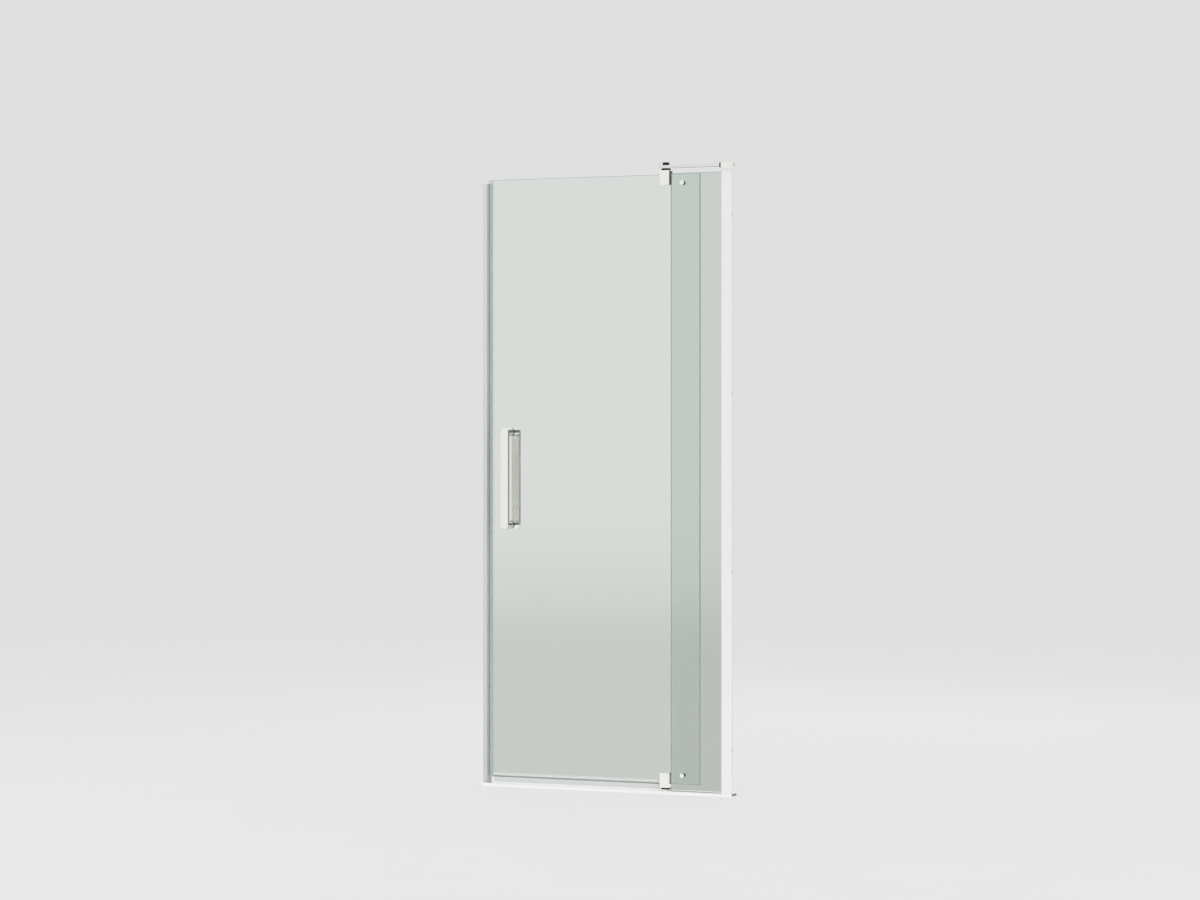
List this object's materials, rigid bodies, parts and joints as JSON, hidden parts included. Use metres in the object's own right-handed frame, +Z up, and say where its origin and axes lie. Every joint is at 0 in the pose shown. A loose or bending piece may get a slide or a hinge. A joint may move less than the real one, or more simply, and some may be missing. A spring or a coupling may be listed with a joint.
{
  "type": "pivot shower door",
  "caption": "Frameless pivot shower door: a glass pane turning on top and bottom pivots, a fixed in-line panel, a low threshold, wall jambs, a support bar and a back-to-back pull handle.",
  "frame": {"origin": "bottom centre of the bounding box: the middle of the threshold's underside, below the door pane", "axes": "+X from the handle-side wall to the pivot-side wall, +Y from the room into the shower, +Z up"},
  "size_m": [0.762, 0.096, 1.786],
  "materials": {
    "polished_profile": "bright polished extrusion",
    "polished_fitting": "mirror polished",
    "steel_hardware": "plain machined",
    "clear_glass": "clear toughened glass with polished edges",
    "clear_seal": "clear flexible plastic",
    "black_plastic": "satin black",
    "white_nylon": "natural nylon",
    "black_rubber": "soft black"
  },
  "bodies": {
    "frame": {"threshold_sill": "polished_profile", "sill_channel_infill": "polished_profile", "fixed_panel": "clear_glass", "setting_blocks": "white_nylon", "panel_sill_gaskets": "clear_seal", "panel_jamb_gaskets": "clear_seal", "wall_jamb": "polished_profile", "strike_jamb": "polished_profile", "strike_jamb_cover": "polished_profile", "strike_stop": "clear_seal", "support_bar": "polished_fitting", "bar_wall_bracket": "polished_fitting", "bar_end_gasket": "black_rubber", "bar_set_screw": "steel_hardware", "top_pivot_pin": "steel_hardware", "top_thrust_washer": "black_plastic", "pivot_cap_nut": "black_plastic", "bottom_pivot_base": "polished_fitting", "bottom_thrust_washer": "black_plastic", "pivot_base_nut": "steel_hardware", "bottom_pivot_pin": "steel_hardware", "bumper_caps": "polished_fitting", "bumper_washers": "clear_seal", "door_bumpers": "black_rubber"},
    "door": {"door_glass": "clear_glass", "door_edge_seal": "clear_seal", "door_sweep": "clear_seal", "top_hinge_outer": "polished_fitting", "top_hinge_inner": "polished_fitting", "top_hinge_screws": "steel_hardware", "top_hinge_gaskets": "black_rubber", "top_pivot_bush": "white_nylon", "bottom_hinge_outer": "polished_fitting", "bottom_hinge_inner": "polished_fitting", "bottom_hinge_screws": "steel_hardware", "bottom_hinge_gaskets": "black_rubber", "bottom_pivot_bush": "white_nylon", "handle_outer_bar": "polished_fitting", "handle_outer_posts": "polished_fitting", "handle_outer_washers": "black_rubber", "handle_inner_bar": "polished_fitting", "handle_inner_posts": "polished_fitting", "handle_inner_washers": "black_rubber", "handle_set_screws": "steel_hardware", "handle_studs": "steel_hardware", "handle_sleeves": "white_nylon"}
  },
  "joints": [
    {"name": "door_swing", "type": "hinge", "parent": "frame", "child": "door", "pos_m": [0.178, 0, 0.9], "axis": [0, 0, 1], "range_deg": [0, 100]}
  ]
}
